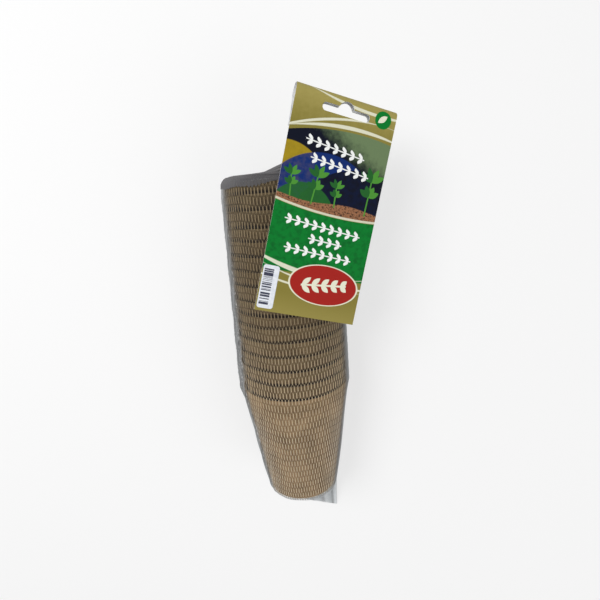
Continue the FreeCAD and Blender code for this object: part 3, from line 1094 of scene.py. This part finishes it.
ink = {
    "gold": srgb(130, 120, 56),
    "goldLight": srgb(160, 148, 84),
    "cream": srgb(226, 226, 204),
    "night": srgb(4, 8, 26),
    "blue": srgb(14, 42, 104),
    "ochre": srgb(158, 134, 30),
    "sage": srgb(104, 124, 88),
    "soil": srgb(150, 104, 74),
    "soilDark": srgb(66, 46, 36),
    "leaf": srgb(74, 140, 52),
    "leafDark": srgb(34, 92, 40),
    "green": srgb(5, 116, 42),
    "greenDeep": srgb(4, 92, 34),
    "red": srgb(158, 34, 28),
    "white": srgb(236, 238, 236),
    "board": srgb(206, 206, 208),
}
card = {
    "roughness": 0.5,
    "shine": 0.1,
    "edge": 0.12,
    "patches": (300, 3),
    "specks": (900, 4, 0.7),
    "goldAbove": (118, 22, 0.5),  # from where the gold grows lighter, over how much, share of patches
    "goldBelow": (14, 30),
    "goldRange": (0.0, 1.2),
    # height at the middle, slope and bow of the picture's edges
    "pictureTop": (117.0, 0.10, -0.0035),
    "pictureFoot": (66.0, -0.03, 0.0022),
    "footLine": (0.7, 0.75),  # half width and strength
    "dusk": (96, 22, 40, 0.6),  # from where, over how much up and across, share of patches
    "duskRange": (0.15, 0.95),
    "hill": (0.35, 0.75, 0.4),  # edge, least strength and its spread
    "soil": (72.5, 9, 1.2, 0.3),  # height, length and size of the waves, edge
    "soilRange": (0.48, 0.60),
    "stem": 0.45,
    "leafGroups": ((0.55, 0.8), (0.98, 1.0)),  # height on the stem and size
    "leafAngles": (0.55, 1.2),
    "leafWidth": 0.19,
    "band": (0.9, 0.3, 27.0, 0.02, 0.6),  # gap and edge at its top; height, slope and edge of its foot
    "bandRange": (0.4, 0.75),
    "garland": (0.35, 0.28, 0.6, 0.3, 0.24),  # stem; place, lean, length and width of a leaf by spacing
    "ribbon": (1500, 0.1, 0.25, 0.88),  # taper, least width, edge and strength
    "oval": (8, 22, 23.5, 13),  # middle and half sizes
    "ovalEdge": (0.012, 0.955),  # softness, and how far out the red reaches
    "sprig": (0.12, 0.6, 15),  # slope, half width and half length of its stem
    "sprigPairs": (-6.5, 6.4, 5),  # first place, step and count of leaf pairs
    "sprigLeaf": (7.6, 0.5, 1.6),  # length, how much shorter each next one is, width
    "sprigAngles": (0.8, -0.6),
    "roundel": (24.5, 130.2, 5.4),
    "roundelLeaf": (21.4, 128.0, 0.75, 7.4, 1.7),
    "foldPlace": (127.0, 2.2),  # along the card, and behind its front
    "printRange": (0.35, 0.6),
    "boardRange": (0.35, 0.7),
    "waves": (180, 3),
    "pores": (2200, 2),
    "poreShare": 0.08,
    "bump": (0.25 * mm, 0.6),
}
# each sprout: foot across and along, height, lean and leaf length
sprouts = [(-25, 72, 13, -0.10, 6.5), (-11, 70, 17, 0.08, 8.0),
           (4, 71, 12, -0.05, 6.0), (25, 70, 22, 0.02, 9.5)]
# each hill: centre across and along, radius, colour
hills = [(-30, 78, 26, "ochre"), (-4, 62, 40, "blue"), (22, 50, 47, "night"), (-16, 60, 22, "leafDark")]
# each ribbon: height at the middle, slope, bow, half width at the widest, place of the widest
ribbons = [(119.5, 0.10, -0.0035, 1.1, 4), (124.0, 0.20, -0.0040, 0.8, -14), (133.0, -0.12, 0.0030, 0.9, 12),
           (27.0, -0.06, 0.0040, 1.5, -8), (22.5, -0.10, 0.0034, 0.9, 10), (18.5, -0.03, 0.0030, 0.6, -16)]
# each white garland: middle across and along, count of leaf pairs, slope, spacing of its leaves
garlands = [(-2, 105.5, 7, -0.10, 5.6), (3, 95.5, 7, -0.10, 5.6), (0, 57.5, 9, -0.05, 5.6),
            (3, 49, 4, -0.03, 5.6), (0, 40.8, 8, -0.03, 5.6)]


def projected(tree, vector, direction):
    made = addNode(tree, "ShaderNodeVectorMath", operation="DOT_PRODUCT")
    tree.links.new(vector, made.inputs[0])
    made.inputs[1].default_value = direction
    return Field(tree, made.outputs["Value"])


def cardPlace(tree, direction):
    place = projected(tree, objectPoint(tree), direction)
    return place * mmInMetre - cardFoot.dot(direction) * mmInMetre


def inside(distance, soft=card["edge"]):
    return 1 - distance.fade(-soft, soft)


def bowed(u, height, slope, bow):
    return u * slope + u * u * bow + height


def leafShape(u, v, footU, footV, angle, length, width):
    p = ((u - footU) * math.cos(angle) + (v - footV) * math.sin(angle)) / length - 0.5
    q = (v - footV) * math.cos(angle) - (u - footU) * math.sin(angle)
    return inside(abs(q) - (1 - p * p * 4) * width)


def garlandShape(u, v, middleU, middleV, count, slope, spacing):
    # a thin stem with a pair of slanting leaves at every step
    stem, place, leaning, length, width = card["garland"]
    half = count * spacing / 2
    step = (u - middleU + half).calc("FLOORED_MODULO", spacing) / spacing - 0.5
    rise = v - middleV - (u - middleU) * slope
    leaf = abs(rise) - spacing * place
    lean = (step + leaf / spacing * leaning) * spacing
    leaves = inside(abs(lean) - (1 - leaf * leaf / (spacing * length) ** 2) * spacing * width)
    return leaves.most(inside(abs(rise) - stem)) * inside(abs(u - middleU) - half)


def gardenPicture(tree, u, v, patchy, speck):
    # hills at dusk, a soil bed and seedlings
    fromV, overV, overU, patches = card["dusk"]
    dusk = 1 - (v - fromV) / overV - u / overU + patchy * patches
    colour = paint(tree, ink["sage"], ink["night"], dusk.fade(*card["duskRange"]))
    edge, least, spread = card["hill"]
    for hillU, hillV, radius, name in hills:
        hill = inside(hypot(u - hillU, v - hillV) - radius, edge)
        colour = paint(tree, colour, ink[name], hill * (patchy * spread + least).least(1.0))
    height, period, size, edge = card["soil"]
    soil = paint(tree, ink["soil"], ink["soilDark"], speck.fade(*card["soilRange"]))
    colour = paint(tree, colour, soil, inside(v - height - (u / period).calc("SINE") * size, edge))
    for footU, footV, height, lean, size in sprouts:
        stem = inside(abs(u - footU - (v - footV) * lean) - card["stem"])
        stem = stem * inside(abs(v - footV - height / 2) - height / 2)
        colour = paint(tree, colour, ink["leaf"], stem)
        for level, shrink in card["leafGroups"]:
            leafU, leafV = footU + height * level * lean, footV + height * level
            for angle in card["leafAngles"]:
                for turned, name in ((angle, "leaf"), (math.pi - angle, "leafDark")):
                    leaf = leafShape(u, v, leafU, leafV, turned, size * shrink, size * card["leafWidth"])
                    colour = paint(tree, colour, ink[name], leaf)
    return colour


def sprigShape(u, v, middleU, middleV):
    slope, halfWidth, halfLength = card["sprig"]
    sprig = inside(abs(v - middleV - (u - middleU) * slope) - halfWidth)
    sprig = sprig * inside(abs(u - middleU) - halfLength)
    first, step, count = card["sprigPairs"]
    length, shrink, width = card["sprigLeaf"]
    for k in range(count):
        stemU = first + step * k
        stemV = middleV + (stemU - middleU) * slope
        for angle in card["sprigAngles"]:
            sprig = sprig.most(leafShape(u, v, stemU, stemV, angle, length - shrink * k, width))
    return sprig


def printedSide(tree, u, v, patchy, speck):
    fromV, over, patches = card["goldAbove"]
    lighter = ((v - fromV) / over + patchy * patches).fade(*card["goldRange"])
    fromV, over = card["goldBelow"]
    colour = paint(tree, ink["gold"], ink["goldLight"], lighter.most((fromV - v) / over))

    # the picture, the green band below it and the white garlands over both
    top, bottom = bowed(u, *card["pictureTop"]), bowed(u, *card["pictureFoot"])
    picture = gardenPicture(tree, u, v, patchy, speck)
    colour = paint(tree, colour, picture, inside(v - top) * inside(bottom - v))
    half, strength = card["footLine"]
    colour = paint(tree, colour, ink["cream"], inside(abs(v - bottom) - half) * strength)
    gap, topEdge, footV, slope, footEdge = card["band"]
    band = inside(v - bottom + gap, topEdge) * inside(footV - v + u * slope, footEdge)
    green = paint(tree, ink["green"], ink["greenDeep"], patchy.fade(*card["bandRange"]))
    colour = paint(tree, colour, green, band)
    layers = [("white", garlandShape(u, v, *place)) for place in garlands]
    taper, least, edge, strength = card["ribbon"]
    for height, slope, bow, half, widest in ribbons:
        width = (1 - (u - widest) * (u - widest) / taper).most(least) * half
        line = inside(abs(v - bowed(u, height, slope, bow)) - width, edge)
        layers.append(("cream", line * strength))

    # the plain red oval with its sprig, and the small roundel
    middleU, middleV, halfU, halfV = card["oval"]
    soft, redShare = card["ovalEdge"]
    oval = hypot((u - middleU) / halfU, (v - middleV) / halfV)
    layers += [("cream", inside(oval - 1, soft)), ("red", inside(oval - redShare, soft)),
               ("cream", sprigShape(u, v, middleU, middleV))]
    middleU, middleV, radius = card["roundel"]
    layers += [("green", inside(hypot(u - middleU, v - middleV) - radius)),
               ("cream", leafShape(u, v, *card["roundelLeaf"]))]
    for name, mask in layers:
        colour = paint(tree, colour, ink[name], mask)
    return colour


def cardMaterial():
    # the print is only on the outside; inside and cut edges show the pale board
    material, tree, shader = newMaterial("printedBoard", card["roughness"], Specular_IOR_Level=card["shine"])
    point = objectPoint(tree)
    normal = addNode(tree, "ShaderNodeTexCoord").outputs["Normal"]
    u, v, n = (cardPlace(tree, direction) for direction in (cardAcross, cardAlong, cardOut))
    patchy = cloud(tree, point, *card["patches"])
    speck = cloud(tree, point, *card["specks"])
    foldV, behind = card["foldPlace"]
    outward = projected(tree, normal, cardAlong) * (v - foldV)
    outward = outward + projected(tree, normal, cardOut) * (n + behind)
    board = paint(tree, ink["board"], ink["white"], patchy.fade(*card["boardRange"]))
    colour = printedSide(tree, u, v, patchy, speck)
    colour = paint(tree, board, colour, outward.fade(*card["printRange"]))
    height = cloud(tree, point, *card["waves"]) + cloud(tree, point, *card["pores"]) * card["poreShare"]
    finishMaterial(tree, shader, colour, height, card["bump"])
    return material


label = {
    "roughness": 0.6,
    "paper": (srgb(214, 219, 227), srgb(228, 231, 236)),
    "paperPatches": (500, 3),
    "paperRange": (0.35, 0.65),
    "bar": srgb(30, 34, 58),
    "barsPerMm": 3.3,
    "barRange": (0.36, 0.38),
    "blockMiddle": (-28.4, 15.2),
    "blockHalf": (3.0, 11.2),
    "blockEdge": 0.1,
    "bumps": (2500, 2),
    "bump": (0.05 * mm, 0.4),
}


def labelMaterial():
    material, tree, shader = newMaterial("labelPaper", label["roughness"])
    point = objectPoint(tree)
    u, v = cardPlace(tree, cardAcross), cardPlace(tree, cardAlong)
    stripe = addNode(tree, "ShaderNodeTexWhiteNoise", noise_dimensions="1D")
    tree.links.new((v * label["barsPerMm"]).calc("FLOOR").socket, stripe.inputs["W"])
    bars = Field(tree, stripe.outputs["Value"]).fade(*label["barRange"])
    for place, middle, half in zip((u, v), label["blockMiddle"], label["blockHalf"]):
        bars = bars * inside(abs(place - middle) - half, label["blockEdge"])
    patchy = cloud(tree, point, *label["paperPatches"]).fade(*label["paperRange"])
    paper = paint(tree, *label["paper"], patchy)
    colour = paint(tree, paper, label["bar"], bars)
    finishMaterial(tree, shader, colour, cloud(tree, point, *label["bumps"]), label["bump"])
    return material


staple = {
    "roughness": 0.34,
    "tones": (srgb(150, 150, 152), srgb(196, 197, 200)),
    "patches": (1500, 3),
    "patchRange": (0.35, 0.65),
    "drawnScales": (400, 4000, 4000),
    "bump": (0.03 * mm, 0.5),
}


def wireMaterial():
    material, tree, shader = newMaterial("galvanisedWire", staple["roughness"], Metallic=1.0)
    point = objectPoint(tree)
    worn = cloud(tree, point, *staple["patches"]).fade(*staple["patchRange"])
    colour = paint(tree, *staple["tones"], worn)
    drawn = cloud(tree, stretched(tree, point, staple["drawnScales"]), 1, 2)
    finishMaterial(tree, shader, colour, drawn, staple["bump"])
    return material


def dress(node, material):
    for holder in nodes[node].material_slots:
        holder.material = material


dress("header_card", cardMaterial())
dress("barcode_label", labelMaterial())
dress("staples", wireMaterial())
print("card, label and staples")
